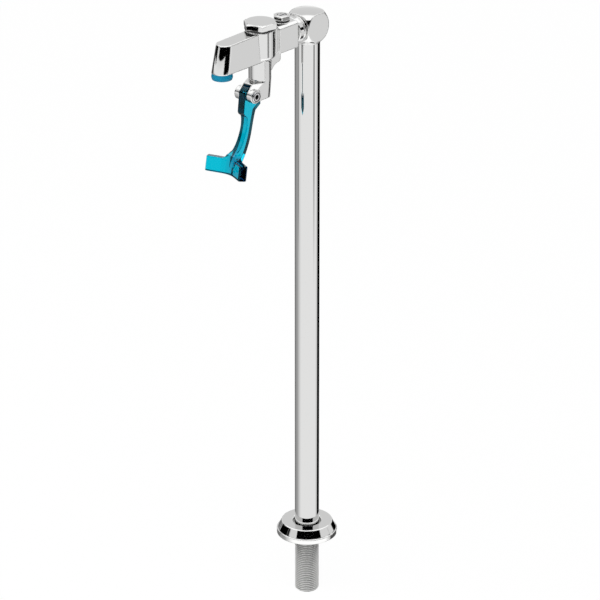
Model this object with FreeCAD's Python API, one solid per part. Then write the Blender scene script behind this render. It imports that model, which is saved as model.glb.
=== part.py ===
import FreeCAD, Part
import math
import os

# Glass filler faucet: a tall riser stands on a deck flange, an elbow at its top carries a cast valve
# body with arm, tower, spout and lever fork, and a blue lever opens the valve when a glass pushes it.
# Frame, in millimetres: the origin is on the riser axis at the deck, +Z is up, the spout points to -Y.

Vec = FreeCAD.Vector

# Clearances
run_gap = 0.05
seat_gap = 0.15
rest_gap = 0.3

# How far a cutting tool runs past the faces it opens
over = 1.0
far_over = 5.0

# Broken edges of turned parts
fine_edge = 0.3
edge = 0.5

# Supply pipe and shank, half-inch pipe size
pipe_radius = 10.65
pipe_inner_radius = 9.0
thread_radius = 10.48
shank_length = 56.0
shank_end_chamfer = 1.0
shank_bore_radius = 6.5
shank_groove_radius = 9.9
shank_groove_width = 2.0
shank_shoulder_height = 6.0
shank_spigot_length = 14.0

# Deck flange and its gasket
flange_radius = 26.5
flange_rim_height = 4.5
flange_ledge = 0.9
flange_top_radius = 22.0
flange_height = 11.8
flange_recess_radius = 12.2
flange_recess_lip = 1.7
flange_hub_wall = 2.6
flange_hub_rise = 1.0
flange_shell = 3.6
gasket_outer_radius = 23.4
gasket_width = 2.8
gasket_height = 1.5

# Elbow, a ball cut flat on its sides, with a slightly domed top
arm_axis_height = 472.6
elbow_half_width = 12.6
elbow_ball_radius = 17.9
elbow_top_rise = 13.0
elbow_dome_radius = 60.0
elbow_neck_radius = 11.2
elbow_neck_drop = 2.2
elbow_bore_radius = 5.5
elbow_socket_depth = 4.2
riser_seal_height = 1.2
top_nipple_radius = 8.0
top_nipple_wall = 2.5
top_nipple_spigot = 14.0

# Union between the elbow and the arm
collar_radius = 11.2
collar_groove_radius = 10.5
collar_length = 7.95
collar_rear_band = 2.2
collar_groove_width = 0.8
collar_gap = 0.3
arm_nipple_radius = 7.0
arm_nipple_wall = 2.4
arm_nipple_depth = 5.0
arm_o_ring_section = 1.5

# Arm of the valve body
arm_half_width = 9.3
arm_bottom_drop = 12.3
arm_top_rise = 10.7
arm_chamfer_width = 2.7
arm_chamfer_height = 1.6
arm_length = 22.9
arm_bore_radius = 4.6
arm_corner_radius = 0.9
neck_half_width = 7.4
neck_inset = 1.4
web_half_width = 5.6
web_drop = 8.1
web_reach = 4.9
web_corner_radius = 2.8
web_sweep = 4.8

# Valve tower and barrel, on the valve axis
valve_y = -57.5
tower_radius = 12.6
tower_top_rise = 11.7
tower_edge = 0.6
tower_shoulder_drop = 10.4
tower_foot_radius = 3.0
barrel_radius = 9.9
barrel_half_width = 9.0
barrel_bottom_drop = 31.1

# Spout, drawn between a lower and an upper outline
outlet_y = -103.2
spout_low_half_width = 8.7
spout_high_half_width = 7.3
spout_nose_lean = 4.2
spout_bottom_drop = 14.1
spout_top_rise = 10.8
spout_tip_fall = 1.5
spout_edge_radius = 0.8
spout_cavity_radius = 5.2
spout_throat_radius = 3.2
spout_throat_reach = 14.5

# Valve seat, chamber and stem
chamber_radius = 9.5
seat_ring_radius = 8.0
seat_hole_radius = 4.5
seat_ring_height = 4.0
seat_drop = 1.8
lower_chamber_radius = 6.0
guide_floor_rise = 2.5
guide_bush_height = 6.2
stem_o_ring_height = 1.8
stem_washer_height = 1.2
stem_radius = 2.4
stem_foot_radius = 3.0
stem_foot_drop = 6.4
stem_disc_radius = 6.7
stem_disc_height = 1.8
seat_washer_radius = 6.3
seat_washer_height = 2.0
retainer_radius = 3.9
retainer_height = 1.6
stem_post_radius = 3.0
stem_post_height = 5.0

# Bonnet, its seal and the return spring
bonnet_flats = 25.3
bonnet_corner_radius = 14.6
bonnet_disc_radius = 12.2
bonnet_disc_rise = 0.3
bonnet_chamfer_height = 1.1
bonnet_height = 5.0
bonnet_turn = -39.8
bonnet_seal_height = 1.1
bonnet_seal_radius = 13.0
bonnet_skirt_length = 5.4
bonnet_bore_radius = 7.1
bonnet_roof = 2.6
spring_wire_radius = 0.5
spring_mean_radius = 4.4
spring_turns = 4.5
spring_steps_per_turn = 16
spring_wire_sides = 8

# Flow regulator on the arm
regulator_y = -31.4
regulator_plug_radius = 3.4
regulator_plug_drop = 6.6
regulator_stem_radius = 2.1
regulator_port_radius = 2.4
regulator_boss_radius = 6.6
regulator_boss_height = 0.6
gland_flats = 13.1
gland_corner_radius = 7.4
gland_top_radius = 5.4
gland_chamfer_height = 0.6
gland_foot_chamfer = 0.8
gland_height = 3.9
gland_thread_radius = 4.9
gland_thread_length = 3.0
gland_recess_radius = 4.1
gland_recess_depth = 2.2
gland_turn = -47.0
regulator_slot_width = 1.1
regulator_slot_depth = 1.2
regulator_sunk = 0.5
gland_seal_radius = 6.5
gland_seal_height = 1.4

# Lever fork under the barrel
pivot_y = -73.4
pivot_drop = 41.2
fork_slot_half_width = 4.1
fork_floor_drop = 46.5
fork_corner_radius = 3.4
fork_taper = 1.6
fork_bridge = 1.7
fork_brow_angle = 45.0
fork_ledge_drop = 0.9
fork_ledge_depth = 1.2
fork_facet_rear = 4.1
fork_facet_front = 11.8
fork_facet_drop = 4.5
fork_facet_size = 30.0
fork_slot_rear_y = -52.6
ear_radius = 5.8
boss_proud = 0.9
boss_recess_radius = 5.2
boss_recess_depth = 1.0
boss_edge = 0.3

# Pivot screw
screw_shaft_radius = 2.5
screw_head_radius = 4.5
screw_head_height = 1.7
screw_socket_flats = 3.0
screw_socket_depth = 1.2

# Lever, moulded in one piece
lever_half_width = 3.65
lever_head_radius = 6.8
lever_edge_radius = 0.8
heel_pad_radius = 3.3
yoke_apex_y = -90.3
yoke_drop = 99.9
yoke_height = 12.9
yoke_thickness = 7.2
yoke_wing_length = 23.4
yoke_wing_angle = 62.0
yoke_tilt = 10.0
yoke_inner_radius = 14.0
yoke_edge_radius = 0.9
yoke_tip_radius = 1.8
gusset_radius = 6.0

# Side outline of the lever, as (y, z) from the pivot
heel_flat_rise = 0.6
heel_low_point = (17.5, -3.6)
heel_front_points = [(12.2, -8.0), (12.2, -10.8)]
back_points = [(6.2, -14.6), (3.5, -23.0), (-0.5, -37.6), (-4.8, -47.4), (-9.2, -54.4)]
foot_points = [(-13.6, -60.4), (-22.5, -58.6)]
front_points = [(-21.0, -47.9), (-13.1, -43.4), (-7.8, -35.0), (-4.4, -22.8), (-4.8, -17.9)]
lug_points = [(-7.4, -15.7), (-8.4, -13.8)]
head_end_angle = 62.0

# Outlet tip and its flow straightener
tip_height = 5.8
tip_top_radius = 8.3
tip_radius = 8.9
tip_bottom_radius = 7.4
tip_spigot_radius = 6.5
tip_spigot_length = 4.2
tip_lip_radius = 4.6
tip_bore_radius = 5.3
tip_lip_height = 2.2
straightener_height = 3.0
straightener_hole_radius = 0.55
straightener_pitch = 1.75

# Sizes that follow from the ones above
gasket_inner_radius = gasket_outer_radius - gasket_width
arm_bottom = arm_axis_height - arm_bottom_drop
arm_top = arm_axis_height + arm_top_rise
tower_top = arm_axis_height + tower_top_rise
tower_shoulder = arm_axis_height - tower_shoulder_drop
barrel_bottom = arm_axis_height - barrel_bottom_drop
fork_floor = arm_axis_height - fork_floor_drop
fork_slot_top = barrel_bottom - fork_bridge
spout_bottom = arm_axis_height - spout_bottom_drop
spout_top = arm_axis_height + spout_top_rise
pivot_z = arm_axis_height - pivot_drop
seat_top = arm_axis_height - seat_drop
seat_bottom = seat_top - seat_ring_height
guide_floor = barrel_bottom + guide_floor_rise
guide_top = guide_floor + guide_bush_height
stem_foot = barrel_bottom - stem_foot_drop
yoke_middle = arm_axis_height - yoke_drop
elbow_bottom = arm_axis_height - elbow_half_width
riser_top = elbow_bottom - elbow_neck_drop + riser_seal_height
seal_bottom = riser_top + run_gap
neck_bottom = elbow_bottom - elbow_neck_drop
elbow_socket_top = elbow_bottom + elbow_socket_depth
arm_end_y = -elbow_half_width - collar_gap - collar_length - run_gap
arm_start_y = arm_end_y - arm_length
boss_top = arm_top + regulator_boss_height
gland_seat = boss_top + gland_seal_height + 2 * run_gap
gland_top = gland_seat + gland_height
gland_low = boss_top - gland_thread_length
barrel_shoulder_y = valve_y - math.sqrt(barrel_radius ** 2 - barrel_half_width ** 2)
fork_brow_slope = math.radians(fork_brow_angle)
brow_foot_y = pivot_y - ear_radius * math.sin(fork_brow_slope)
brow_foot_z = pivot_z + ear_radius * math.cos(fork_brow_slope)
brow_y = brow_foot_y + (barrel_bottom - brow_foot_z) / math.tan(fork_brow_slope)


def polygon_face(points):
    """A flat face inside a closed loop of points."""
    return Part.Face(Part.makePolygon(points + [points[0]]))


def turned(profile, y=0.0):
    """A turned piece on a vertical axis at the given y, from (radius, height) points."""
    face = polygon_face([Vec(r, y, z) for r, z in profile])
    return face.revolve(Vec(0, y, 0), Vec(0, 0, 1), 360)


def turned_on_arm(profile):
    """A turned piece on the arm's axis, from (radius, y) points."""
    face = polygon_face([Vec(r, y, arm_axis_height) for r, y in profile])
    return face.revolve(Vec(0, 0, arm_axis_height), Vec(0, 1, 0), 360)


def rod(radius, low, high, y=0.0):
    """A vertical round bar."""
    return Part.makeCylinder(radius, high - low, Vec(0, y, low))


def rod_y(radius, rear_y, front_y, z):
    """A round bar that runs from rear_y towards the spout."""
    return Part.makeCylinder(radius, rear_y - front_y, Vec(0, rear_y, z), Vec(0, -1, 0))


def rod_x(radius, left, right, y, z):
    """A round bar that runs across the faucet."""
    return Part.makeCylinder(radius, right - left, Vec(left, y, z), Vec(1, 0, 0))


def ring(outer, inner, low, high, y=0.0):
    """A flat ring on a vertical axis."""
    return rod(outer, low, high, y).cut(rod(inner, low - over, high + over, y))


def block(half_width, front_y, rear_y, low, high):
    """A box that is centred across the faucet."""
    corner = Vec(-half_width, front_y, low)
    return Part.makeBox(2 * half_width, rear_y - front_y, high - low, corner)


def hexagon(flats, low, high, y, turn_deg):
    """A hexagonal prism on a vertical axis."""
    corner = flats / 2 / math.cos(math.radians(30))
    angles = [math.radians(turn_deg + 60 * k) for k in range(6)]
    points = [Vec(corner * math.cos(a), y + corner * math.sin(a), low) for a in angles]
    return polygon_face(points).extrude(Vec(0, 0, high - low))


def arc_points(centre, reach_r, reach_z, start_deg, end_deg, steps=4):
    """Points of a profile along an ellipse about a centre, from one angle to another."""
    angles = [math.radians(start_deg + (end_deg - start_deg) * k / steps) for k in range(steps + 1)]
    return [(centre[0] + reach_r * math.cos(a), centre[1] + reach_z * math.sin(a)) for a in angles]


def cleaned(shape):
    """The shape as one solid with its split faces joined."""
    joined = shape.removeSplitter()
    return joined.Solids[0] if len(joined.Solids) == 1 else joined


def base_flange():
    """A turned cone with a rim, a recess for the riser, a hub and a hollow underside."""
    socket = pipe_radius + run_gap
    hub = pipe_radius + flange_hub_wall
    roof = flange_height - flange_shell
    lip = (flange_recess_radius + flange_recess_lip, flange_height - flange_recess_lip)
    profile = [
        (socket, flange_hub_rise),
        (hub, flange_hub_rise),
        (hub + 0.6, roof - 2.2),
        (hub + 2.2, roof - 0.6),
        (flange_top_radius - flange_shell, roof - 0.6),
        (gasket_inner_radius - 1.0, flange_rim_height - 1.2),
        (gasket_inner_radius - 1.0, 0),
        (gasket_inner_radius - run_gap, 0),
        (gasket_inner_radius - run_gap, gasket_height + run_gap),
        (gasket_outer_radius + run_gap, gasket_height + run_gap),
        (gasket_outer_radius + run_gap, 0),
        (flange_radius - fine_edge, 0),
        (flange_radius, fine_edge),
        (flange_radius, flange_rim_height - 0.4),
        (flange_radius - 0.4, flange_rim_height),
        (flange_radius - flange_ledge, flange_rim_height),
        (flange_top_radius + 0.3, flange_height - 0.35),
        (flange_top_radius - 0.3, flange_height),
    ]
    profile += arc_points(lip, flange_recess_lip, flange_recess_lip, 90, 180)
    profile += [(flange_recess_radius, shank_shoulder_height), (socket, shank_shoulder_height)]
    return turned(profile)


def base_gasket():
    """A rubber ring in the groove under the flange, level with the deck face."""
    return ring(gasket_outer_radius, gasket_inner_radius, 0, gasket_height)


def shank():
    """The threaded tailpiece: a bored bar with a relief groove, a shoulder and a spigot in the riser."""
    spigot = pipe_inner_radius - run_gap
    top = shank_shoulder_height + shank_spigot_length
    profile = [
        (shank_bore_radius, -shank_length),
        (thread_radius - shank_end_chamfer, -shank_length),
        (thread_radius, shank_end_chamfer - shank_length),
        (thread_radius, 0),
        (shank_groove_radius, 0),
        (shank_groove_radius, shank_groove_width),
        (pipe_radius, shank_groove_width),
        (pipe_radius, shank_shoulder_height),
        (spigot, shank_shoulder_height),
        (spigot, top - edge),
        (spigot - edge, top),
        (shank_bore_radius, top),
    ]
    return turned(profile)


def riser_tube():
    """The tall polished pipe, from the shank's shoulder to the elbow."""
    return ring(pipe_radius, pipe_inner_radius, shank_shoulder_height, riser_top)


def top_nipple():
    """A stepped nipple, brazed in the riser's top and screwed into the elbow."""
    spigot = pipe_inner_radius - run_gap
    bore = top_nipple_radius - top_nipple_wall
    low = riser_top - top_nipple_spigot
    high = elbow_socket_top - rest_gap
    profile = [
        (bore, low),
        (spigot - edge, low),
        (spigot, low + edge),
        (spigot, riser_top),
        (top_nipple_radius, riser_top),
        (top_nipple_radius, high - edge),
        (top_nipple_radius - edge, high),
        (bore, high),
    ]
    return turned(profile)


def riser_seal():
    """A flat ring between the riser's end and the elbow's neck."""
    high = seal_bottom + riser_seal_height
    return ring(pipe_radius - 2 * run_gap, top_nipple_radius + run_gap, seal_bottom, high)


def elbow():
    """A ball cut flat on its sides and domed on top, with a round neck, a bored corner and two sockets."""
    centre = Vec(0, 0, arm_axis_height)
    ball = Part.makeSphere(elbow_ball_radius, centre)
    top = arm_axis_height + elbow_top_rise
    dome = Part.makeSphere(elbow_dome_radius, Vec(0, 0, top - elbow_dome_radius))
    cube = block(elbow_half_width, -elbow_half_width, elbow_half_width, elbow_bottom, top + over)
    body = ball.common(cube).common(dome)
    neck = turned([
        (0, neck_bottom),
        (elbow_neck_radius - edge, neck_bottom),
        (elbow_neck_radius, neck_bottom + edge),
        (elbow_neck_radius, elbow_bottom + over),
        (0, elbow_bottom + over),
    ])
    body = body.fuse(neck)
    seal_top = seal_bottom + riser_seal_height
    body = body.cut(rod(pipe_radius + run_gap, neck_bottom - over, seal_top))
    body = body.cut(rod(top_nipple_radius + run_gap, neck_bottom, elbow_socket_top))
    body = body.cut(rod(elbow_bore_radius, neck_bottom, arm_axis_height))
    body = body.cut(Part.makeSphere(elbow_bore_radius, centre))
    body = body.cut(rod_y(elbow_bore_radius, 0, -elbow_half_width - over, arm_axis_height))
    socket_rear = arm_nipple_depth - elbow_half_width
    socket_radius = arm_nipple_radius + run_gap
    body = body.cut(rod_y(socket_radius, socket_rear, -elbow_half_width - over, arm_axis_height))
    return cleaned(body)


def arm_nipple():
    """The short nipple that screws into both the elbow and the arm."""
    rear = arm_nipple_depth - elbow_half_width - rest_gap
    front = arm_end_y - arm_nipple_depth + rest_gap
    bore = arm_nipple_radius - arm_nipple_wall
    profile = [
        (bore, rear),
        (arm_nipple_radius - edge, rear),
        (arm_nipple_radius, rear - edge),
        (arm_nipple_radius, front + edge),
        (arm_nipple_radius - edge, front),
        (bore, front),
    ]
    return turned_on_arm(profile)


def arm_collar():
    """The lock ring between elbow and arm, with two bands and a groove."""
    rear = -elbow_half_width - collar_gap
    front = rear - collar_length
    bore = arm_nipple_radius + run_gap
    ring_room = arm_nipple_radius + arm_o_ring_section + run_gap
    groove_rear = rear - collar_rear_band
    groove_front = groove_rear - collar_groove_width
    profile = [
        (bore, rear),
        (collar_radius - edge, rear),
        (collar_radius, rear - edge),
        (collar_radius, groove_rear + fine_edge),
        (collar_groove_radius, groove_rear),
        (collar_groove_radius, groove_front),
        (collar_radius, groove_front - fine_edge),
        (collar_radius, front + edge),
        (collar_radius - edge, front),
        (ring_room, front),
        (ring_room, front + arm_o_ring_section + run_gap),
        (bore, front + arm_o_ring_section + run_gap),
    ]
    return turned_on_arm(profile)


def arm_o_ring():
    """A square-cut seal ring in the collar's front face."""
    front = arm_end_y + 2 * run_gap
    inner = arm_nipple_radius + run_gap
    outer = arm_nipple_radius + arm_o_ring_section
    high = front + arm_o_ring_section - run_gap
    return turned_on_arm([(inner, front), (outer, front), (outer, high), (inner, high)])


def arm_block():
    """The arm: a bar with broad chamfers along its top and softened corners."""
    flat_half = arm_half_width - arm_chamfer_width
    section = [
        Vec(-arm_half_width, arm_end_y, arm_bottom),
        Vec(arm_half_width, arm_end_y, arm_bottom),
        Vec(arm_half_width, arm_end_y, arm_top - arm_chamfer_height),
        Vec(flat_half, arm_end_y, arm_top),
        Vec(-flat_half, arm_end_y, arm_top),
        Vec(-arm_half_width, arm_end_y, arm_top - arm_chamfer_height),
    ]
    bar = polygon_face(section).extrude(Vec(0, -arm_length, 0))
    return bar.makeFillet(arm_corner_radius, bar.Edges)


def arm_neck():
    """The narrower link that joins the arm to the tower."""
    low = arm_bottom + neck_inset
    high = arm_top - neck_inset
    return block(neck_half_width, valve_y, arm_start_y + 2, low, high)


def arm_web():
    """The rounded lug under the link, whose underside sweeps down into the barrel."""
    rear = arm_start_y + web_reach
    low = arm_bottom - web_drop
    bend = web_corner_radius * (1 - math.sqrt(0.5))
    front = valve_y + barrel_half_width - 1
    sweep_mid_y = (rear - web_corner_radius + front) / 2 - 0.8
    left = -web_half_width
    top_rear = Vec(left, rear, arm_bottom + 3)
    top_front = Vec(left, valve_y, arm_bottom + 3)
    low_front = Vec(left, valve_y, low - web_sweep)
    foot = Vec(left, front, low - web_sweep)
    mid = Vec(left, sweep_mid_y, low - 0.3 * web_sweep)
    corner_a = Vec(left, rear - web_corner_radius, low)
    corner_m = Vec(left, rear - bend, low + bend)
    corner_b = Vec(left, rear, low + web_corner_radius)
    edges = [
        Part.makeLine(top_rear, top_front),
        Part.makeLine(top_front, low_front),
        Part.makeLine(low_front, foot),
        Part.Arc(foot, mid, corner_a).toShape(),
        Part.Arc(corner_a, corner_m, corner_b).toShape(),
        Part.makeLine(corner_b, top_rear),
    ]
    return Part.Face(Part.Wire(edges)).extrude(Vec(2 * web_half_width, 0, 0))


def spout_outline(half_width, nose_y, z):
    """A closed outline: two straight sides and a half-round nose, open to the valve axis behind."""
    left_rear = Vec(-half_width, valve_y, z)
    left_nose = Vec(-half_width, nose_y, z)
    tip = Vec(0, nose_y - half_width, z)
    right_nose = Vec(half_width, nose_y, z)
    right_rear = Vec(half_width, valve_y, z)
    edges = [
        Part.makeLine(left_rear, left_nose),
        Part.Arc(left_nose, tip, right_nose).toShape(),
        Part.makeLine(right_nose, right_rear),
        Part.makeLine(right_rear, left_rear),
    ]
    return Part.Wire(edges)


def spout_block():
    """The spout: a drafted loft whose top slopes down to the nose, with softened top edges."""
    low = spout_outline(spout_low_half_width, outlet_y, spout_bottom)
    high = spout_outline(spout_high_half_width, outlet_y + spout_nose_lean, spout_top)
    horn = Part.makeLoft([low, high], True, True)
    tip_y = outlet_y - spout_low_half_width - far_over
    wedge = polygon_face([
        Vec(-20, valve_y, spout_top),
        Vec(-20, tip_y, spout_top - spout_tip_fall),
        Vec(-20, tip_y, spout_top + 10),
        Vec(-20, valve_y, spout_top + 10),
    ]).extrude(Vec(40, 0, 0))
    horn = cleaned(horn.cut(wedge))
    top_rim = [
        e for e in horn.Edges
        if e.BoundBox.ZMin > spout_top - spout_tip_fall - 0.2 and e.BoundBox.YMin < valve_y - 1
    ]
    return horn.makeFillet(spout_edge_radius, top_rim)


def tower():
    """The turned tower on the valve axis, drawn in at its foot by a rounding that runs into the barrel."""
    step_in = tower_radius - barrel_half_width
    swing = math.acos(1 - step_in / 2 / tower_foot_radius)
    drop = tower_foot_radius * math.sin(swing)
    foot = tower_shoulder - 2 * drop

    def at(r, z):
        return Vec(r, valve_y, z)

    def on_arc(centre_r, centre_z, angle):
        out = tower_foot_radius * math.cos(angle)
        up = tower_foot_radius * math.sin(angle)
        return at(centre_r + out, centre_z + up)

    round_r = tower_radius - tower_foot_radius
    hollow_r = barrel_half_width + tower_foot_radius
    waist = on_arc(round_r, tower_shoulder, -swing)
    round_mid = on_arc(round_r, tower_shoulder, -swing / 2)
    hollow_mid = on_arc(hollow_r, foot, math.pi - swing / 2)
    edges = [
        Part.makeLine(at(0, foot), at(0, tower_top)),
        Part.makeLine(at(0, tower_top), at(tower_radius - tower_edge, tower_top)),
        Part.makeLine(at(tower_radius - tower_edge, tower_top), at(tower_radius, tower_top - tower_edge)),
        Part.makeLine(at(tower_radius, tower_top - tower_edge), at(tower_radius, tower_shoulder)),
        Part.Arc(at(tower_radius, tower_shoulder), round_mid, waist).toShape(),
        Part.Arc(waist, hollow_mid, at(barrel_half_width, foot)).toShape(),
        Part.makeLine(at(barrel_half_width, foot), at(0, foot)),
    ]
    return Part.Face(Part.Wire(edges)).revolve(Vec(0, valve_y, 0), Vec(0, 0, 1), 360)


def barrel_plan(z):
    """The barrel seen from above: a round front, two flat sides and a half-round back."""
    side = barrel_half_width
    front_left = Vec(-side, barrel_shoulder_y, z)
    front_right = Vec(side, barrel_shoulder_y, z)
    edges = [
        Part.Arc(front_left, Vec(0, valve_y - barrel_radius, z), front_right).toShape(),
        Part.makeLine(front_right, Vec(side, valve_y, z)),
        Part.Arc(Vec(side, valve_y, z), Vec(0, valve_y + side, z), Vec(-side, valve_y, z)).toShape(),
        Part.makeLine(Vec(-side, valve_y, z), front_left),
    ]
    return Part.Face(Part.Wire(edges))


def barrel():
    """The barrel that holds the stem's guide, drawn up into the tower."""
    return barrel_plan(barrel_bottom).extrude(Vec(0, 0, tower_shoulder - barrel_bottom))


def fork_profile(x):
    """The side outline of the fork, as a face in the plane x."""
    rear = valve_y + barrel_half_width + rest_gap
    brow = Vec(x, brow_y, barrel_bottom)
    brow_foot = Vec(x, brow_foot_y, brow_foot_z)
    ear_front = Vec(x, pivot_y - ear_radius, pivot_z)
    ear_low_dy = math.sqrt(ear_radius ** 2 - (pivot_z - fork_floor) ** 2)
    ear_low = Vec(x, pivot_y + ear_low_dy, fork_floor)
    bend = fork_corner_radius * (1 - math.sqrt(0.5))
    low_rear = rear - fork_taper
    corner_a = Vec(x, low_rear - fork_corner_radius, fork_floor)
    corner_m = Vec(x, low_rear - bend, fork_floor + bend)
    corner_b = Vec(x, low_rear, fork_floor + fork_corner_radius)
    top_rear = Vec(x, rear, barrel_bottom)
    edges = [
        Part.makeLine(top_rear, brow),
        Part.makeLine(brow, brow_foot),
        Part.Arc(brow_foot, ear_front, ear_low).toShape(),
        Part.makeLine(ear_low, corner_a),
        Part.Arc(corner_a, corner_m, corner_b).toShape(),
        Part.makeLine(corner_b, top_rear),
    ]
    return Part.Face(Part.Wire(edges))


def fork_plan(z, taper):
    """The fork seen from above: two flat sides and a half-round back, drawn forward by the taper."""
    side = barrel_half_width
    front = pivot_y - ear_radius - far_over
    back = valve_y - taper
    edges = [
        Part.makeLine(Vec(-side, front, z), Vec(side, front, z)),
        Part.makeLine(Vec(side, front, z), Vec(side, back, z)),
        Part.Arc(Vec(side, back, z), Vec(0, back + side, z), Vec(-side, back, z)).toShape(),
        Part.makeLine(Vec(-side, back, z), Vec(-side, front, z)),
    ]
    return Part.Wire(edges)


def fork_facet(side):
    """A plate above the slanting plane that trims one upper side of the fork towards its slot."""
    rear = Vec(side * barrel_half_width, valve_y - fork_facet_rear, barrel_bottom)
    front = Vec(side * barrel_half_width, valve_y - fork_facet_front, barrel_bottom - fork_facet_drop)
    inner = Vec(side * fork_slot_half_width, brow_y, barrel_bottom)
    along = (front - rear).normalize()
    upward = along.cross(inner - rear).normalize() * -side
    across = upward.cross(along)
    corners = [
        rear + along * fork_facet_size + across * fork_facet_size,
        rear + along * fork_facet_size - across * fork_facet_size,
        rear - along * fork_facet_size - across * fork_facet_size,
        rear - along * fork_facet_size + across * fork_facet_size,
    ]
    return polygon_face(corners).extrude(upward * fork_facet_size)


def fork_block():
    """The lever fork: the barrel's flat sides carried down and forward, with a proud boss on the near ear."""
    column = Part.makeLoft([fork_plan(fork_floor, fork_taper), fork_plan(barrel_bottom, 0)], True, True)
    outline = fork_profile(-barrel_half_width - over).extrude(Vec(2 * (barrel_half_width + over), 0, 0))
    fork = column.common(outline).cut([fork_facet(1), fork_facet(-1)])
    boss = rod_x(ear_radius, -barrel_half_width, barrel_half_width + boss_proud, pivot_y, pivot_z)
    rims = [e for e in boss.Edges if e.BoundBox.XMin > barrel_half_width]
    return fork.fuse(boss.makeFillet(boss_edge, rims))


def fork_cuts():
    """The slot for the lever, the ledge under the barrel's front, the pivot bore and its recess."""
    half = barrel_half_width + boss_proud
    slot_front = pivot_y - ear_radius - 2 * far_over
    slot = block(fork_slot_half_width, slot_front, fork_slot_rear_y, fork_floor - far_over, fork_slot_top)
    pivot_bore = rod_x(screw_shaft_radius + run_gap, -half - over, half + over, pivot_y, pivot_z)
    recess = rod_x(boss_recess_radius, half - boss_recess_depth, half + over, pivot_y, pivot_z)
    ledge_low = barrel_bottom - fork_ledge_drop
    ledge = block(half, slot_front, barrel_shoulder_y, ledge_low, barrel_bottom)
    ledge = ledge.cut(rod(barrel_radius - fork_ledge_depth, ledge_low - over, barrel_bottom + over, valve_y))
    return [slot, pivot_bore, recess, ledge]


def waterway_cuts():
    """The path of the water through the body, and the room for the valve and regulator."""
    skirt_room = rod(chamber_radius + run_gap, seat_top, tower_top + over, valve_y)
    seat_room = rod(seat_ring_radius + run_gap, seat_bottom, seat_top + over, valve_y)
    lower_room = rod(lower_chamber_radius + run_gap, guide_floor, seat_bottom + over, valve_y)
    stem_hole = rod(stem_foot_radius + rest_gap, fork_slot_top - over, guide_floor + over, valve_y)
    inlet_z = arm_axis_height + 1.6
    inlet = rod_y(spout_throat_radius, regulator_y, valve_y, inlet_z)
    arm_bore = rod_y(arm_bore_radius, arm_end_y + over, regulator_y + 2, arm_axis_height)
    socket_radius = arm_nipple_radius + run_gap
    socket = rod_y(socket_radius, arm_end_y + over, arm_end_y - arm_nipple_depth, arm_axis_height)
    throat_z = seat_bottom - spout_throat_radius - 0.2
    throat = rod_y(spout_throat_radius, valve_y, valve_y - spout_throat_reach, throat_z)
    cavity_z = spout_bottom + spout_cavity_radius + 2.4
    cavity = rod_y(spout_cavity_radius, valve_y - spout_throat_reach, outlet_y, cavity_z)
    dome = Part.makeSphere(spout_cavity_radius, Vec(0, outlet_y, cavity_z))
    spigot_room = tip_spigot_radius + run_gap
    outlet = rod(spigot_room, spout_bottom - over, spout_bottom + tip_spigot_length + over, outlet_y)
    drop = rod(spout_cavity_radius, spout_bottom, cavity_z, outlet_y)
    plug_low = arm_axis_height - regulator_plug_drop - seat_gap
    plug_room = rod(regulator_plug_radius + run_gap, plug_low, gland_low + over, regulator_y)
    gland_room = rod(gland_thread_radius + run_gap, gland_low, arm_top + far_over, regulator_y)
    return [skirt_room, seat_room, lower_room, stem_hole, inlet, arm_bore, socket, throat, cavity, dome,
            outlet, drop, plug_room, gland_room]


def valve_body():
    """The one-piece casting: arm, link, web, tower, spout, barrel and fork, then its bores."""
    boss = turned([
        (0, arm_top - over),
        (regulator_boss_radius, arm_top - over),
        (regulator_boss_radius, boss_top - fine_edge),
        (regulator_boss_radius - fine_edge, boss_top),
        (0, boss_top),
    ], regulator_y)
    body = arm_block().fuse([arm_neck(), arm_web(), spout_block(), tower(), barrel(), fork_block(), boss])
    body = cleaned(body)
    return cleaned(body.cut(fork_cuts() + waterway_cuts()))


def regulator_screw():
    """A slotted plug with a cross port, which turns a quarter to throttle the flow."""
    low = arm_axis_height - regulator_plug_drop
    shoulder = gland_low - seat_gap
    top = gland_top - regulator_sunk
    head_low = gland_top - gland_recess_depth + seat_gap
    head_radius = gland_recess_radius - rest_gap
    profile = [
        (0, low),
        (regulator_plug_radius, low),
        (regulator_plug_radius, shoulder),
        (regulator_stem_radius, shoulder),
        (regulator_stem_radius, head_low),
        (head_radius, head_low),
        (head_radius, top - fine_edge),
        (head_radius - fine_edge, top),
        (0, top),
    ]
    screw = turned(profile, regulator_y)
    reach = head_radius + over
    port = rod_y(regulator_port_radius, regulator_y + reach, regulator_y - reach, arm_axis_height)
    slot_low = top - regulator_slot_depth
    slot = block(regulator_slot_width / 2, regulator_y - reach, regulator_y + reach, slot_low, top + over)
    return cleaned(screw.cut([port, slot]))


def gland_seal():
    """The black seal ring between the arm's boss and the gland nut."""
    low = boss_top + run_gap
    return ring(gland_seal_radius, gland_thread_radius + run_gap, low, low + gland_seal_height, regulator_y)


def gland_nut():
    """The hexagon nut over the regulator, chamfered on top and at its foot, on a threaded neck."""
    prism = hexagon(gland_flats, gland_seat, gland_top, regulator_y, gland_turn)
    envelope = turned([
        (0, gland_seat),
        (gland_corner_radius - gland_foot_chamfer, gland_seat),
        (gland_corner_radius, gland_seat + gland_foot_chamfer),
        (gland_corner_radius, gland_top - gland_chamfer_height),
        (gland_top_radius, gland_top),
        (0, gland_top),
    ], regulator_y)
    neck = rod(gland_thread_radius, gland_low + seat_gap, gland_seat + over, regulator_y)
    nut = prism.common(envelope).fuse(neck)
    nut = nut.cut(rod(regulator_stem_radius + run_gap, arm_axis_height, gland_top + over, regulator_y))
    recess = rod(gland_recess_radius, gland_top - gland_recess_depth, gland_top + over, regulator_y)
    return cleaned(nut.cut(recess))


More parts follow.
